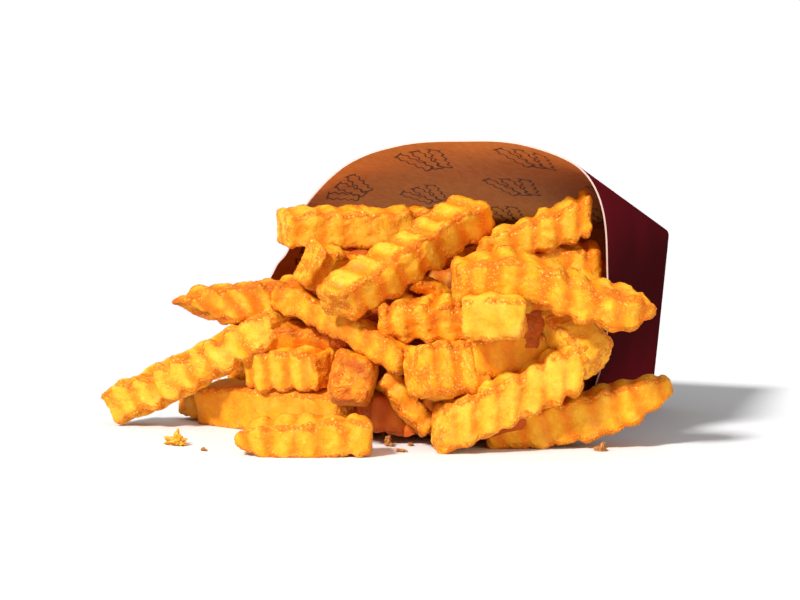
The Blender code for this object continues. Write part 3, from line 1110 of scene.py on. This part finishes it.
@dataclass
class Heap:
    """The heap: the fries that show, a bed of more fries behind them, and the core they lie on."""

    cutter: FryCutter
    crust: Crust
    finish: bpy.types.Material
    seed: int = 5
    filler_seed: int = 11
    filler_count: int = 14
    bed_count: int = 30
    bed_sink: float = 6.5
    bed_sides: int = 32
    bed_fine: float = 1.1
    shade_depth: float = 18.0
    shade_tone: float = 0.8
    core_sides: int = 72
    core_rows: int = 60
    core_drop: float = 5.0
    core_shrink: float = 1.2
    core_hump: float = 14.0

    SHOWN = {
        Part.CENTRE: {
            "top_left": Fry((-42, -20, 64.5), (4, 4, 65), 11, 11, roll=8, slant=0.35, depth=0.6, tone=0.55),
            "under_top_left": Fry((-31, -25, 54.5), (-12, 6, 43), 14, 12, roll=20, slant=-0.1, tone=0.2),
            "centre_long": Fry(
                (-15, -38, 43), (19, -9, 70.5), 11, 11,
                roll=24, slant=0.45, end_scale=1.0, tone=-0.05, crust=1.3,
            ),
            "middle": Fry(
                (-5, -27, 38.5), (26, -21, 39), 11, 11,
                roll=12, slant=0.1, depth=1.2, tone=-0.15, crust=1.3,
            ),
            "middle_block": Fry(
                (27, -37, 41.5), (44, -31, 41.5), 12.5, 12,
                roll=6, depth=0.3, tone=0.5, crust=0.8, square=4.4,
            ),
            "centre_chunk": Fry(
                (12.5, -39.5, 24.5), (26, -23.5, 24), 15, 13,
                roll=-12, slant=0.1, tone=-0.15, crust=1.5,
            ),
            "centre_right_block": Fry((24, -27, 28), (44, -10, 29), 12, 12, depth=0.4, tone=0.1, crust=0.7),
            "chip": Fry((4, -22, 50), (16, -14, 42.5), 3.5, 5, roll=30, depth=0.3, tone=-0.3),
            "leaning_down": Fry((-3, -28, 21), (11, -25, 5), 10, 7, roll=70, depth=0.5, tone=-0.1),
        },
        Part.RIGHT: {
            "top_right": Fry(
                (22, -15, 57.5), (52, 0, 70), 9, 10,
                roll=6, lean=0.5, end_scale=1.2, depth=1.4, tone=0.05,
            ),
            "right_wall": Fry((27, -9, 53.5), (53.5, 6, 54), 12.5, 12, roll=10, tone=0.2),
            "right_long": Fry(
                (22, -32, 51), (78, -17, 43.5), 11, 11.5,
                roll=14, bow=3, sway=2.5, slant=0.3, end_scale=0.3, taper=11, depth=0.8, crust=1.35,
            ),
            "right_drop": Fry(
                (40, -10, 44), (60.5, -14, 26.5), 12.5, 12,
                roll=30, depth=0.5, end_scale=0.85, tone=0.7, crust=1.3,
            ),
            "front_right": Fry(
                (17.5, -34.5, 7), (55.5, -15, 26), 13, 12,
                roll=8, slant=0.2, lean=0.5, depth=1.1, tone=0.6,
            ),
            "floor_right": Fry(
                (26, -18, 5.5), (77, 5, 19), 12, 11,
                roll=4, bow=-3, end_scale=0.3, taper=16, depth=0.7, tone=0.15, crust=0.9,
            ),
        },
        Part.LEFT: {
            "floor_left": Fry(
                (-76, -8, 6.5), (-16, -24, 9), 13.5, 12,
                roll=8, depth=0.2, tone=0.15, crust=0.7,
            ),
            "crusty_end": Fry(
                (-8, -40, 20.5), (-22, -8, 19.5), 15, 13,
                roll=10, depth=0.5, start_scale=0.8, tone=-0.5, crust=1.8, square=3.6,
            ),
            "left_upper": Fry(
                (-71, -27, 39), (-31, -9, 43.5), 11.5, 11,
                slant=0.5, lean=-0.6, start_scale=0.45, tone=-0.3,
            ),
            "left_long": Fry(
                (-100, -24, 6.5), (-42, -21, 35.5), 10.5, 10.5,
                roll=6, bow=-1, slant=-0.2, depth=1.3, tone=0.4, crust=1.4,
            ),
            "left_slant": Fry((-44, -18, 43), (7, -33, 26), 7.5, 9, roll=-8, bow=1.5, depth=0.5, tone=-0.2),
            "left_ridged": Fry((-54, -17, 20.5), (-24, -24, 21.5), 11.5, 12, roll=6, depth=1.2, tone=0.1),
        },
        # The fries in the gaps get low tones, which paint the shade there; the two at the back left keep their
        # own tone.
        Part.SHADE: {
            "left_inner": Fry((-48, -19, 30), (-18, -12, 28), 12, 12, roll=20, depth=0.5, tone=-0.45),
            "left_back_tip": Fry((-88, -2, 4), (-56, -9, 8), 6, 10, start_scale=0.6, depth=0.4),
            "left_back": Fry((-70, 0, 14), (-48, -4, 15), 6, 9, depth=0.4),
            "floor_dark": Fry((-20, -8, 8), (10, -4, 8), 12, 12, roll=15, tone=-0.9),
            "inner_shadow": Fry((-36, -12, 34), (-10, -6, 35), 12, 12, roll=30, tone=-0.7),
            "inner_low": Fry((4, -20, 11.5), (26, -13, 12), 11, 12, roll=-15, tone=-0.9),
            "under_right_long": Fry((26, -29, 42), (56, -2, 47), 11, 11, roll=20, tone=-0.3),
            "under_right_wall": Fry((14, 8, 53), (46, 17, 51), 8, 10, roll=15),
        },
    }

    # The depth into the carton, and the core's left, right, bottom and top there.
    CORE_SECTIONS = (
        (-24.0, -16.0, 30.0, 1.5, 11.0),
        (-18.0, -34.0, 40.0, 1.2, 24.0),
        (-8.0, -42.0, 45.0, 1.2, 40.0),
        (4.0, -46.0, 48.0, 1.5, 52.0),
        (16.0, -48.0, 49.0, 2.4, 56.0),
        (30.0, -47.0, 48.0, 2.4, 56.0),
        (54.0, -45.0, 45.0, 2.4, 53.0),
        (84.0, -42.0, 42.0, 2.4, 46.0),
    )

    def build(self) -> list[bpy.types.Object]:
        """Makes every piece of the heap.

        Returns:
            The pieces, dressed.
        """
        pieces = []
        for part, fries in self.SHOWN.items():
            draw = Random(f"{self.seed} {part.value}")
            made = [self.cutter.cut(name, fry, draw) for name, fry in fries.items()]
            piece = join(made, part.value)
            self.crust.fry(piece)
            pieces.append(dress(piece, self.finish, "fried_potato", "fries"))
        pieces.append(self.make_bed())
        return pieces

    def fillers(self) -> list[Fry]:
        """The fries in the shade between those that show, down the heap's front.

        Returns:
            The fries, from the lowest to the highest.
        """
        draw = Random(self.filler_seed)
        fries = []
        for index in range(self.filler_count):
            height = 10 + 42 * index / (self.filler_count - 1)
            across = draw.uniform(-26, 32)
            front = -20 + 0.3 * height + draw.uniform(-3, 3)
            heading, pitch = radians(draw.uniform(-60, 60)), radians(draw.uniform(-25, 25))
            half, roll = draw.uniform(13, 18), draw.uniform(-40, 40)
            middle = Vector((across, front, height))
            reach = Vector((cos(heading) * cos(pitch), sin(heading) * cos(pitch), sin(pitch))) * half
            # The low tone paints the shade in the gaps down the heap's front.
            fries.append(Fry(tuple(middle - reach), tuple(middle + reach), roll=roll, tone=-1.2))
        return fries

    def core_top(self, y: float) -> float:
        """The height of the core's top at this depth into the carton."""
        depth, _, _, _, top = zip(*self.CORE_SECTIONS)
        return float(np.interp(y, depth, top))

    def bed_fries(self) -> list[Fry]:
        """The fries that lie on the core behind the ones that show.

        Returns:
            The fries, from the mouth to the rear.
        """
        draw = Random(self.filler_seed + 1)
        fries = []
        for index in range(self.bed_count):
            y = 6 + 70 * index / (self.bed_count - 1)
            heading, half = radians(draw.uniform(-75, 75)), draw.uniform(12, 20)
            x = draw.uniform(-22, 24)
            reach = Vector((cos(heading) * half, sin(heading) * min(half, 80 - y), 0))
            middle = Vector((x, y, 0))
            start, end = middle - reach, middle + reach
            start.z = self.core_top(start.y) - self.bed_sink + draw.uniform(-1.5, 0.5)
            end.z = self.core_top(end.y) - self.bed_sink + draw.uniform(-1.5, 0.5)
            tone = draw.uniform(-0.3, 0.4) - (self.shade_tone if y < self.shade_depth else 0.0)
            fries.append(Fry(tuple(start), tuple(end), 11, 11, roll=draw.uniform(-30, 30), tone=tone))
        return fries

    def make_core(self) -> bpy.types.Object:
        """The body of hidden fries, as one rounded form with humps as large as fries.

        Returns:
            The core, a little lower than the fries that lie on it.
        """
        mesh = self.cutter.blank(self.core_sides, self.core_rows).copy()
        bar = read_points(mesh)
        part_way = bar[:, 2] + 0.5
        angle, out = np.arctan2(bar[:, 1], bar[:, 0]), np.hypot(bar[:, 0], bar[:, 1])
        square = (np.abs(np.cos(angle)) ** 3 + np.abs(np.sin(angle)) ** 3) ** (1 / 3)
        across, over = np.cos(angle) / square * out, np.sin(angle) / square * out
        depth, left, right, bottom, top = (np.array(column) for column in zip(*self.CORE_SECTIONS))
        y = depth[0] + (depth[-1] - depth[0]) * part_way
        left, right = np.interp(y, depth, left), np.interp(y, depth, right)
        bottom, top = np.interp(y, depth, bottom), np.interp(y, depth, top) - self.core_drop
        x = (left + right) / 2 + (right - left) / 2 * across
        z = (bottom + top) / 2 + (top - bottom) / 2 * over
        points = np.stack([x, y, z], 1)
        humps = smooth_noise(points * (1.0, 0.6, 1.0), self.core_hump, Random(self.seed))
        inward = np.stack([-across, np.zeros(len(y)), -over], 1)
        points += inward * (self.core_shrink * (1 + humps))[:, None]
        write_points(mesh, to_metres(points))
        # The core's low crest and tone give it the grooves' and the gaps' painted shade.
        write_values(mesh, "crest", 0.2 + 0.2 * humps)
        for name, value in (("flesh", 0.0), ("edge", 0.1), ("tone", -0.9), ("grain", 0.3), ("rough", 0.3)):
            write_values(mesh, name, np.full(len(points), value))
        core = bpy.data.objects.new("core", mesh)
        bpy.context.scene.collection.objects.link(core)
        self.cutter.weigh(core, np.full(len(points), 0.6))
        return core

    def make_bed(self) -> bpy.types.Object:
        """Joins the core with the fries that lie on it and those in the shade at its front.

        Returns:
            The dressed piece.
        """
        draw = Random(self.seed + 1)
        hidden = self.fillers() + self.bed_fries()
        made = [
            self.cutter.cut(f"bed_{index}", fry, draw, self.bed_fine, self.bed_sides)
            for index, fry in enumerate(hidden)
        ]
        bed = join([self.make_core(), *made], Part.BED.value)
        self.crust.fry(bed)
        return dress(bed, self.finish, "fried_potato", "fries")


@dataclass
class FrontFry:
    """The one fry that lies on the floor clear of the heap."""

    cutter: FryCutter
    crust: Crust
    finish: bpy.types.Material
    fry: Fry = Fry(
        (-35, -64, 4.5), (2, -48, 6), 10.5, 11, roll=6, start_scale=0.3, taper=13, depth=0.7, tone=0.2
    )

    def build(self) -> bpy.types.Object:
        """Makes and dresses the fry.

        Returns:
            The dressed piece.
        """
        obj = self.cutter.cut("front_fry_crust", self.fry, Random(23), fine=0.4, sides=88)
        self.crust.fry(obj)
        return dress(obj, self.finish, "fried_potato", "front_fry")


@dataclass
class Crumbs:
    """The crumbs on the floor in front of the heap."""

    golden: bpy.types.Material
    browned: bpy.types.Material

    # Each crumb's place on the floor, and half its width, depth and height.
    GOLDEN = (
        (-60.6, -55.0, 3.4, 2.0, 1.3),
        (-59.6, -54.6, 1.3, 1.1, 2.3),
        (-57.8, -55.6, 1.6, 1.1, 0.7),
    )
    BROWNED = (
        (-46.7, -61.5, 0.9, 0.7, 0.5),
        (-1.1, -29.5, 1.1, 1.0, 1.6),
        (-0.2, -29.9, 1.5, 0.9, 0.6),
        (5.2, -26.5, 0.9, 0.7, 0.5),
        (7.4, -38.4, 1.5, 0.8, 0.5),
        (60.7, -11.4, 1.8, 1.0, 0.7),
        (61.2, -11.6, 0.8, 0.8, 1.3),
    )

    def build(self) -> None:
        """Makes the golden crumbs as one piece and the browned ones as another."""
        self.scatter("golden_crumbs", self.GOLDEN, self.golden)
        self.scatter("browned_crumbs", self.BROWNED, self.browned)

    def scatter(
        self, name: str, places: tuple[tuple[float, ...], ...], finish: bpy.types.Material
    ) -> bpy.types.Object:
        """Makes one kind of crumbs.

        Args:
            name: The piece's name.
            places: Each crumb's place on the floor and half its width, depth and height.
            finish: The crumbs' finish.

        Returns:
            The dressed piece.
        """
        draw = Random(name)
        made = []
        for index, (x, y, half_x, half_y, half_z) in enumerate(places):
            deselect_all()
            bpy.ops.mesh.primitive_ico_sphere_add(subdivisions=4, radius=1.0)
            crumb = bpy.context.object
            crumb.name = f"{name}_{index}"
            ball = read_points(crumb.data)
            lump = 1 + 0.34 * smooth_noise(ball * 3, 4.0, draw) + 0.16 * smooth_noise(ball * 3, 1.6, draw)
            points = ball * lump[:, None] * (half_x, half_y, half_z) + (x, y, half_z * 0.9)
            points[:, 2] = np.maximum(points[:, 2], FLOOR_GAP)
            write_points(crumb.data, to_metres(points))
            # The bulging parts of a crumb take the crest's painted highlight, the sunken parts the grooves'
            # painted shade.
            write_values(crumb.data, "crest", np.clip(lump - 0.4, 0, 1))
            for kind, value in (("flesh", 0.2), ("edge", 0.5), ("tone", 0.0), ("grain", 0.4), ("rough", 0.5)):
                write_values(crumb.data, kind, np.full(len(points), value))
            made.append(crumb)
        return dress(join(made, name), finish, "fried_potato")


# Carton


@dataclass
class Carton:
    """The folded blank: four walls that run from the base to the arched mouth, and the closed base."""

    outside: bpy.types.Material
    inside: bpy.types.Material
    edge: bpy.types.Material
    board: float = 0.5
    depth: float = 90.0
    base_width: float = 94.0
    base_height: float = 61.0
    base_centre: float = -1.5
    lean: float = 6.0
    fold_radius: float = 3.0
    fold_steps: int = 10
    panel_steps: tuple[int, int, int, int] = (40, 72, 40, 40)
    wall_rows: int = 36
    base_rows: int = 10
    edge_rows: int = 4
    edge_radius: float = 1.0
    flap_drop: float = 9.0
    flap_inset: float = 2.5
    flap_taper: float = 7.0
    flap_reach: float = 0.9
    flap_rounding: float = 0.12
    merge_distance: float = 0.01
    crease: float = 32.0

    # How many of the base's corners are passed, and the point of the mouth's edge there.
    MOUTH_EDGE = (
        (0.00, 42.0, 13.0, 0.0),
        (0.22, 52.0, 7.0, 16.0),
        (0.42, 57.0, 4.0, 33.0),
        (0.60, 58.5, 0.0, 51.0),
        (0.84, 59.0, -7.0, 73.0),
        (1.00, 53.0, -12.0, 85.0),
        (1.16, 38.0, -19.0, 91.5),
        (1.36, 20.0, -21.0, 92.5),
        (1.60, -1.5, -20.0, 91.0),
        (1.82, -22.5, -15.0, 84.5),
        (2.00, -40.0, -8.0, 71.5),
        (2.22, -52.0, 2.0, 56.0),
        (2.36, -58.0, 5.0, 50.5),
        (2.56, -62.0, 3.0, 38.0),
        (2.80, -60.0, 6.0, 17.0),
        (3.00, -48.0, 13.0, 0.0),
        (3.50, -2.0, 17.0, 0.0),
    )

    def base_outline(self) -> list[tuple[float, Vector]]:
        """The base's outline, with round folds at its four corners.

        Returns:
            Pairs of a count of corners passed and the point there.
        """
        left, right = self.base_centre - self.base_width / 2, self.base_centre + self.base_width / 2
        corners = [
            Vector((right - self.lean / 2, self.depth, 0.0)),
            Vector((right + self.lean / 2, self.depth, self.base_height)),
            Vector((left + self.lean / 2, self.depth, self.base_height)),
            Vector((left - self.lean / 2, self.depth, 0.0)),
        ]
        outline = []
        for index, corner in enumerate(corners):
            before, after = corners[index - 1] - corner, corners[(index + 1) % 4] - corner
            trim_before, trim_after = self.fold_radius / before.length, self.fold_radius / after.length
            for step in range(self.fold_steps):
                t = step / self.fold_steps
                point = corner + before * trim_before * (1 - t) ** 2 + after * trim_after * t**2
                outline.append((index - trim_before + (trim_before + trim_after) * t, point))
            for step in range(self.panel_steps[index]):
                along = trim_after + (1 - 2 * trim_after) * step / self.panel_steps[index]
                outline.append((index + along, corner + after * along))
        return outline

    def mouth_point(self, corner_count: float) -> Vector:
        """The point of the mouth's edge on the board's straight line from this base point.

        Args:
            corner_count: How many of the base's corners lie before the base point.

        Returns:
            The point, on a smooth curve through the mouth's knots.
        """
        knots = [(row[0], Vector(row[1:])) for row in self.MOUTH_EDGE]
        count = len(knots)

        def knot(index: int) -> tuple[float, Vector]:
            """The knot with this number, counted round the mouth."""
            turns, place = divmod(index, count)
            return knots[place][0] + 4 * turns, knots[place][1]

        at = corner_count % 4
        index = max(i for i in range(count) if knots[i][0] <= at)
        (u0, p0), (u1, p1), (u2, p2), (u3, p3) = (knot(index + step) for step in (-1, 0, 1, 2))
        t = (at - u1) / (u2 - u1)
        slope1, slope2 = (p2 - p0) / (u2 - u0) * (u2 - u1), (p3 - p1) / (u3 - u1) * (u2 - u1)
        point = p1 * (2 * t**3 - 3 * t**2 + 1) + slope1 * (t**3 - 2 * t**2 + t)
        point += p2 * (3 * t**2 - 2 * t**3) + slope2 * (t**3 - t**2)
        point.z = max(point.z, 0.0)
        return point

    def base_point(self, base: np.ndarray, part_way: np.ndarray, turn: np.ndarray) -> np.ndarray:
        """Points of the base and of its rounded edge.

        Args:
            base: The points of the base's outline.
            part_way: How far out from the middle each point lies, from 0 to 1 where the edge begins to turn.
            turn: How far the edge has turned towards the walls, from 0 to a quarter of a circle.

        Returns:
            One point for each point of the outline.
        """
        middle = np.array((self.base_centre, self.depth, self.base_height / 2))
        half = np.array((self.base_width / 2, 1.0, self.base_height / 2))
        inset = self.edge_radius * (1 - np.sin(turn))
        points = middle + (base - middle) * (1 - inset[:, None] / half) * part_way[:, None]
        points[:, 1] = self.depth - self.edge_radius * (1 - np.cos(turn))
        return points

    def make_flap(self) -> bpy.types.Object:
        """The last of the base's flaps, folded down from the top and glued over the others.

        Returns:
            The flap, with the board's three materials.
        """
        deselect_all()
        bpy.ops.mesh.primitive_cube_add(size=1.0)
        flap = bpy.context.object
        cube = read_points(flap.data) + 0.5
        z = self.flap_drop + (self.base_height - 2 * self.edge_radius - self.flap_drop) * cube[:, 2]
        half = self.base_width / 2 - self.flap_inset - self.flap_taper * (1 - cube[:, 2])
        x = self.base_centre + (z / self.base_height - 0.5) * self.lean + (2 * cube[:, 0] - 1) * half
        y = self.depth + self.board * (self.flap_reach * cube[:, 1] - 0.5 * (1 - cube[:, 1]))
        write_points(flap.data, to_metres(np.stack([x, y, z], 1)))
        for material in (self.outside, self.inside, self.edge):
            flap.data.materials.append(material)
        for face in flap.data.polygons:
            face.material_index = 0 if abs(face.normal.y) > 0.9 or face.normal.z > 0.9 else 2
        flap.data.uv_layers.active.name = "board"
        soften = flap.modifiers.new("soften", "BEVEL")
        soften.width = self.flap_rounding * MM
        soften.segments = 2
        apply_all(flap)
        return flap

    def build(self) -> bpy.types.Object:
        """Rolls a flat grid into the walls and the base, and gives the board its thickness.

        Returns:
            The dressed carton.
        """
        outline = self.base_outline()
        count = len(outline)
        base = np.array([point for _, point in outline])
        mouth = np.array([self.mouth_point(corner_count) for corner_count, _ in outline])
        strides = np.linalg.norm(np.diff(np.vstack([mouth, mouth[:1]]), axis=0), axis=1)
        around = np.concatenate([[0.0], np.cumsum(strides)])

        deselect_all()
        before_walls = self.base_rows + self.edge_rows
        rows = before_walls + self.wall_rows
        bpy.ops.mesh.primitive_grid_add(x_subdivisions=count, y_subdivisions=rows, size=1.0)
        carton = bpy.context.object
        mesh = carton.data
        flat = read_points(mesh)
        column = np.rint((flat[:, 0] + 0.5) * count).astype(int)
        row = np.rint((flat[:, 1] + 0.5) * rows)
        here = column % count
        length = np.linalg.norm(mouth - base, axis=1)[here]
        first = self.edge_radius / length
        along = first + (1 - first) * np.clip((row - before_walls) / self.wall_rows, 0, 1)
        walls = base[here] * (1 - along)[:, None] + mouth[here] * along[:, None]
        part_way = np.clip(row / self.base_rows, 0, 1)
        turn = pi / 2 * np.clip((row - self.base_rows) / self.edge_rows, 0, 1)
        closed = self.base_point(base[here], part_way, turn)
        points = np.where((row < before_walls)[:, None], closed, walls)
        write_points(mesh, to_metres(points))

        uv = mesh.uv_layers.active or mesh.uv_layers.new()
        uv.name = "board"
        corner = np.empty(len(mesh.loops), int)
        mesh.loops.foreach_get("vertex_index", corner)
        sheet = np.stack([around[column], length * (1 - along) + (1 - part_way) * self.base_height / 2], 1) * MM
        uv.data.foreach_set("uv", sheet[corner].astype(np.float32).ravel())

        pick(carton)
        bpy.ops.object.mode_set(mode="EDIT")
        bpy.ops.mesh.select_all(action="SELECT")
        bpy.ops.mesh.remove_doubles(threshold=self.merge_distance * MM)
        bpy.ops.mesh.normals_make_consistent(inside=False)
        bpy.ops.object.mode_set(mode="OBJECT")
        board = carton.modifiers.new("board", "SOLIDIFY")
        board.thickness = self.board * MM
        board.offset = -1.0
        board.use_even_offset = True
        board.material_offset = 1
        board.material_offset_rim = 2
        for material in (self.outside, self.inside, self.edge):
            mesh.materials.append(material)
        apply_all(carton)
        carton = join([carton, self.make_flap()], "carton_board")
        bpy.ops.object.shade_smooth_by_angle(angle=radians(self.crease))
        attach(carton, BODY)
        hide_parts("carton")
        log.info("%s: %d faces", carton.name, len(carton.data.polygons))
        return carton


# Studio


@dataclass
class Studio:
    """A plain pale floor, soft light from the front left, and the camera."""

    target: Point = (-10.8, 0.0, 41.7)
    azimuth: float = 25.0
    elevation: float = 5.0
    distance: float = 700.0
    lens: float = 100.0
    sensor: float = 36.0
    sun_azimuth: float = -16.0
    sun_elevation: float = 41.0
    sun_spread: float = 9.0
    sun_strength: float = 4.25
    sky_strength: float = 0.7
    front_strength: float = 0.36
    side_strength: float = 0.2
    back_strength: float = 0.05
    seen_strength: float = 1.05
    fill_azimuth: float = 68.0
    fill_elevation: float = 8.0
    fill_distance: float = 620.0
    fill_size: float = 260.0
    fill_power: float = 0.76
    inner_place: Point = (-13.0, 38.0, 59.0)
    inner_size: tuple[float, float] = (74.0, 75.0)
    inner_power: float = 0.0077
    floor_size: float = 12.0
    floor_low: Colour = (0.79, 0.79, 0.79)
    floor_high: Colour = (0.82, 0.82, 0.82)
    floor_roughness: float = 0.7
    floor_specular: float = 0.2

    def backwards(self, azimuth: float, elevation: float) -> Vector:
        """The direction from the target towards a point at this azimuth and elevation."""
        a, e = radians(azimuth), radians(elevation)
        return Vector((sin(a) * cos(e), -cos(a) * cos(e), sin(e)))

    def hang(self, name: str, data: bpy.types.ID, place: Vector, turn: Quaternion) -> bpy.types.Object:
        """Puts a light or the camera in the scene.

        Args:
            name: The object's name.
            data: The light or the camera.
            place: Where it is, in millimetres from under the mouth.
            turn: How it is turned from looking down.

        Returns:
            The object.
        """
        obj = bpy.data.objects.new(name, data)
        obj.location = (place - Vector(ORIGIN)) * MM
        obj.rotation_mode = "QUATERNION"
        obj.rotation_quaternion = turn
        bpy.context.scene.collection.objects.link(obj)
        return obj

    def build(self) -> None:
        """Makes the floor, the world, the lights and the camera."""
        self.make_floor()
        self.make_world()
        self.make_lights()
        self.make_camera()
        bpy.context.scene.view_settings.view_transform = "Standard"

    def make_floor(self) -> None:
        """A pale floor that the part lies on, with a faint mottle."""
        deselect_all()
        bpy.ops.mesh.primitive_plane_add(size=self.floor_size, location=(0, 0, 0))
        floor = bpy.context.object
        floor.name = "floor"
        material, sheet, shader = start_finish("pale_floor")
        mottle = sheet.noise(sheet.place(), 3.0, detail=3.0)
        sheet.feed(shader.inputs["Base Color"], sheet.mix(mottle, self.floor_low, self.floor_high))
        shader.inputs["Roughness"].default_value = self.floor_roughness
        shader.inputs["Specular IOR Level"].default_value = self.floor_specular
        floor.data.materials.append(material)

    def make_world(self) -> None:
        """A white surrounding that lights most from above, and is even white to the camera."""
        world = bpy.data.worlds.new("studio")
        bpy.context.scene.world = world
        world.use_nodes = True
        sheet = NodeSheet(world.node_tree)
        background = world.node_tree.nodes["Background"]
        way = sheet.add("ShaderNodeSeparateXYZ")
        sheet.feed(way.inputs[0], sheet.add("ShaderNodeTexCoord").outputs["Generated"])
        front = sheet.ramp(way.outputs["Y"], -0.8, 0.4, self.front_strength, self.back_strength)
        above = sheet.ramp(way.outputs["Z"], 0.3, 0.95, 0.0, self.sky_strength)
        right = sheet.ramp(way.outputs["X"], 0.2, 0.9, 0.0, self.side_strength)
        lit = sheet.larger(sheet.larger(front, above), right)
        seen = sheet.times(sheet.add("ShaderNodeLightPath").outputs["Is Camera Ray"], self.seen_strength)
        background.inputs["Color"].default_value = (1.0, 1.0, 1.0, 1.0)
        sheet.feed(background.inputs["Strength"], sheet.larger(lit, seen))

    def make_lights(self) -> None:
        """A soft key from the front left, a low fill from the right and a weak glow inside the carton."""
        sun = bpy.data.lights.new("key", "SUN")
        sun.energy = self.sun_strength
        sun.angle = radians(self.sun_spread)
        towards_sun = self.backwards(self.sun_azimuth, self.sun_elevation)
        self.hang("key", sun, Vector(self.target), towards_sun.to_track_quat("Z", "Y"))

        panel = bpy.data.lights.new("fill", "AREA")
        panel.energy = self.fill_power
        panel.size = self.fill_size * MM
        back = self.backwards(self.fill_azimuth, self.fill_elevation)
        self.hang("fill", panel, Vector(self.target) + back * self.fill_distance, back.to_track_quat("Z", "Y"))

        card = bpy.data.lights.new("inner", "AREA")
        card.shape = "RECTANGLE"
        card.energy = self.inner_power
        card.size, card.size_y = self.inner_size[0] * MM, self.inner_size[1] * MM
        facing_up = Quaternion((0.0, 1.0, 0.0, 0.0))
        self.hang("inner", card, Vector(self.inner_place), facing_up).visible_camera = False

    def make_camera(self) -> None:
        """The camera at the photograph's viewing angle."""
        camera = bpy.data.cameras.new("camera")
        camera.lens = self.lens
        camera.sensor_width = self.sensor
        camera.clip_start, camera.clip_end = 0.01, 50.0
        back = self.backwards(self.azimuth, self.elevation)
        place = Vector(self.target) + back * self.distance
        bpy.context.scene.camera = self.hang("camera", camera, place, back.to_track_quat("Z", "Y"))


def main() -> None:
    """Builds the studio and every piece of the part."""
    logging.basicConfig(level=logging.INFO, format="%(message)s")
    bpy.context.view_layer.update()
    Studio().build()
    grain = grain_group()
    crust_finish = CrustFinish("golden_crust", grain).make()
    cutter, crust = FryCutter(), Crust()
    Heap(cutter, crust, crust_finish).build()
    FrontFry(cutter, crust, crust_finish).build()
    browned = CrustFinish(
        "browned_crust",
        grain,
        crest=(0.36, 0.13, 0.03),
        groove=(0.20, 0.05, 0.012),
        ember=(0.22, 0.06, 0.015),
        toasted=(0.50, 0.24, 0.08),
        glint=(0.56, 0.31, 0.12),
        pale=(0.50, 0.24, 0.08),
    ).make()
    Crumbs(crust_finish, browned).build()
    Carton(
        PrintFinish("printed_outside", grain).make(),
        KraftFinish("kraft_inside", grain).make(),
        CutEdgeFinish("cut_edge", grain).make(),
    ).build()


if __name__ == "__main__":
    main()
